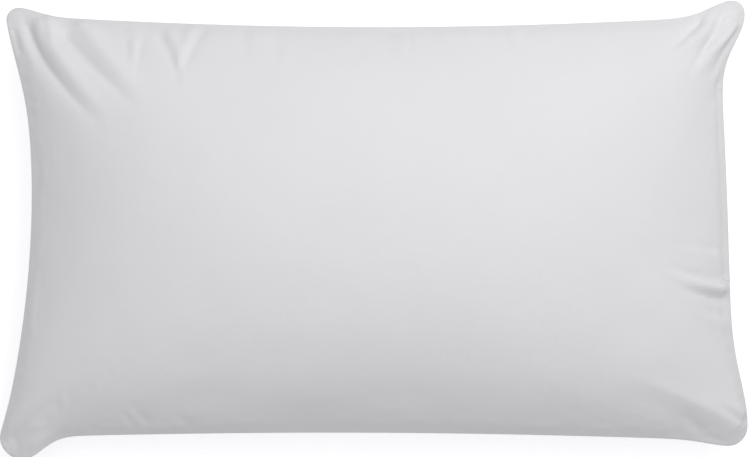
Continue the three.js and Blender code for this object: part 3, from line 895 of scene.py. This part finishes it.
def tube(name, path, up, radius, sides=5):
    """A round thread along a path: at each point a ring square to the path, which starts level
    across it as seen from up, and a point to close each end."""
    run = np.gradient(path, axis=0)
    run /= np.linalg.norm(run, axis=-1, keepdims=True)
    across = np.cross(run, np.broadcast_to(up, path.shape))
    across /= np.maximum(np.linalg.norm(across, axis=-1, keepdims=True), 1e-9)
    over = np.cross(across, run)
    angle = np.linspace(0, 2 * np.pi, sides + 1)[:-1]
    sideways = np.cos(angle)[None, :, None] * across[:, None]
    upwards = np.sin(angle)[None, :, None] * over[:, None]
    rings = path[:, None] + radius * (sideways + upwards)
    count = len(path)
    numbers = np.arange(count * sides).reshape(count, sides)
    looped = np.concatenate([numbers, numbers[:, :1]], axis=1)
    first_end = np.full(sides, count * sides)
    caps = [
        np.stack([first_end, looped[0, :-1], looped[0, 1:]], axis=-1),
        np.stack([first_end + 1, looped[-1, 1:], looped[-1, :-1]], axis=-1),
    ]
    points = np.concatenate([rings.reshape(-1, 3), path[:1], path[-1:]])
    faces = faces_of(looped, True).tolist() + np.concatenate(caps).tolist()
    piece = mesh_object(name, points, faces)
    piece.data.materials.append(THREAD)
    return piece


seam_line = round_the_edge(np.concatenate([front[..., :2], level[..., None]], axis=-1))
seam_out = ring_outward(seam_line)
steps = np.linalg.norm(np.roll(seam_line, -1, axis=0) - seam_line, axis=-1)
seam_run = np.concatenate([[0], np.cumsum(steps)[:-1]])
seam_length = steps.sum()


def along_seam(values, run):
    """What the seam's values are at a distance along it, straight between its points."""
    return np.stack([
        np.interp(run, seam_run, values[:, k], period=seam_length) for k in range(3)
    ], axis=-1)


def by_seam(run, inset, rise):
    """Points at a distance along the seam, counter-clockwise, in from the seam line by inset and
    above its level by rise."""
    point = along_seam(seam_line, run) - along_seam(seam_out, run) * np.asarray(inset)[..., None]
    point[..., 2] += rise
    return point


short_side = slice(FINE_LONG, FINE_LONG + FINE_SHORT)  # the seam's points along +X
opening_runs = np.interp(OPENING, seam_line[short_side, 1], seam_run[short_side])


def lockstitch(first, last):
    """How a thread on one face goes, as runs and heights: up out of a hole, along the cloth
    and down into the next, five points to a stitch."""
    count = int((last - first) / STITCH)
    beat = np.array([0.0, 0.16, 0.36, 0.64, 0.84])
    lift = np.array([-1.0, 0.1, 1.0, 1.0, 0.1])
    run = first + (np.arange(count)[:, None] + beat) * STITCH
    return run.ravel(), np.tile(lift, count)


UP = np.array([0.0, 0.0, 1.0])
for name, node, side in (
    ("seam_needle_stitches", "seam_needle_thread", 1),
    ("seam_bobbin_stitches", "seam_bobbin_thread", -1),
):
    run, lift = lockstitch(opening_runs[1], opening_runs[0] + seam_length)
    surface = SEAM_GAP / 2 + CLOTH_THICKNESS
    height = side * (surface + lift * THREAD_RADIUS)
    stitches = tube(name, by_seam(run, np.full(run.shape, SEAM_INSET), height), UP, THREAD_RADIUS)
    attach(stitches, "root")
    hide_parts(node)


# The overlock --------------------------------------------------------------------------------
# Looped thread over the raw edges of both allowances, so that they can't fray. It goes through
# the cloth, out over the edge and back under it, again and again.

OVERLOCK_INSET = 0.0062       # where it goes through the cloth
OVERLOCK_LEG = 0.0085         # about half way on to the raw edges
OVERLOCK_SLACK = 0.0003       # how far it bows out past them
OVERLOCK_STITCH = 0.0026
LOOP_UP = UP + (0.1, 0.2, 0.0)  # a little off upright, so that no stretch of a loop is in line


def overlock():
    """One loop after another along the seam, six points each: over the front allowance to the
    raw edges, round them and back under the back one."""
    count = int(seam_length / OVERLOCK_STITCH)
    edge = SEAM_ALLOWANCE + THREAD_RADIUS
    over = SEAM_GAP / 2 + CLOTH_THICKNESS + THREAD_RADIUS
    beat = np.array([0.0, 0.18, 0.36, 0.5, 0.64, 0.82])
    bow = edge + OVERLOCK_SLACK
    inset = np.array([OVERLOCK_INSET, OVERLOCK_LEG, edge, bow, edge, OVERLOCK_LEG])
    rise = np.array([over, over, over, 0.0, -over, -over])
    run = (np.arange(count)[:, None] + beat) * OVERLOCK_STITCH
    path = by_seam(run.ravel(), np.tile(inset, count), np.tile(rise, count))
    return tube("overlock_loops", path, LOOP_UP, THREAD_RADIUS, sides=4)


loops = overlock()
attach(loops, "root")
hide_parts("overlock_thread")


# The closing row -----------------------------------------------------------------------------
# Once the pillow is filled, the opening's folded edges are laid together and closed from outside
# with one straight row, whose needle thread lies on the front and whose bobbin thread lies on
# the back. A short dense bar at each end keeps it from running.

CLOSING_INSET = 0.0012
TACK_TURNS = 10
TACK_WIDTH = TACK_TURNS * 2 * THREAD_RADIUS
TACK_FULLNESS = 1.1           # a bar's thread against the other threads
TACK_UP = np.array([0.0, 1.0, 0.0])
# A turn's way over the face: in from the seam line, and off the face in thread radii.
TACK_LIE = ((0.0040, -0.6), (0.0036, 0.7), (0.0025, 0.9), (0.0012, 0.9), (0.0, 0.9))


def on_panel(grid, run, inset, lift):
    """Points on a panel's face beside the short seam at +X: at a distance along the seam, in
    from the seam line by inset and off the face by lift."""
    v = np.interp(run, seam_run[short_side], cut_v[0, :-1])
    point = sample(grid, 1 - inset / (CUT_LENGTH / 2), v)
    facing = sample(normals_of(grid), 1 - inset / (CUT_LENGTH / 2), v)
    return point + facing * np.asarray(lift)[..., None]


def folded(grid, side):
    """A panel's face with its outer row where the fold puts it."""
    face = grid.copy()
    face[-1] += np.array([LIP_OUT, 0.0, side * LIP_RISE])
    return face


FRONT_FACE = folded(front, 1)
BACK_FACE = folded(back, -1)
for name, node, face, side in (
    ("closing_needle_stitches", "closing_needle_thread", FRONT_FACE, 1),
    ("closing_bobbin_stitches", "closing_bobbin_thread", BACK_FACE, -1),
):
    run, lift = lockstitch(opening_runs[0], opening_runs[1])
    path = on_panel(face, run, np.full(run.shape, CLOSING_INSET), side * lift * THREAD_RADIUS)
    row = tube(name, path, UP, THREAD_RADIUS)
    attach(row, "root")
    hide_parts(node)


def bar_tack(name, first, turns):
    """A bar of thread laid side by side over the fold. Each turn lies on the front face, goes
    round the fold and lies on the back face, and a straight leg inside joins it to the next."""
    pitch = 2 * THREAD_RADIUS
    run = first + np.arange(turns) * pitch
    over = [
        on_panel(FRONT_FACE, run, np.full(turns, inset), np.full(turns, lift * THREAD_RADIUS))
        for inset, lift in TACK_LIE
    ]
    under = [
        on_panel(BACK_FACE, run, np.full(turns, inset), np.full(turns, -lift * THREAD_RADIUS))
        for inset, lift in TACK_LIE[::-1]
    ]
    fold_edge = by_seam(run, np.full(turns, -LIP_OUT - THREAD_RADIUS), 0.0)
    path = np.stack([*over, fold_edge, *under], axis=1).reshape(-1, 3)
    return tube(name, path, TACK_UP, TACK_FULLNESS * THREAD_RADIUS)


for name, node, first in (
    ("lower_tack_stitches", "lower_bar_tack", opening_runs[0] - TACK_WIDTH),
    ("upper_tack_stitches", "upper_bar_tack", opening_runs[1]),
):
    bar = bar_tack(name, first, TACK_TURNS)
    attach(bar, "root")
    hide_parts(node)
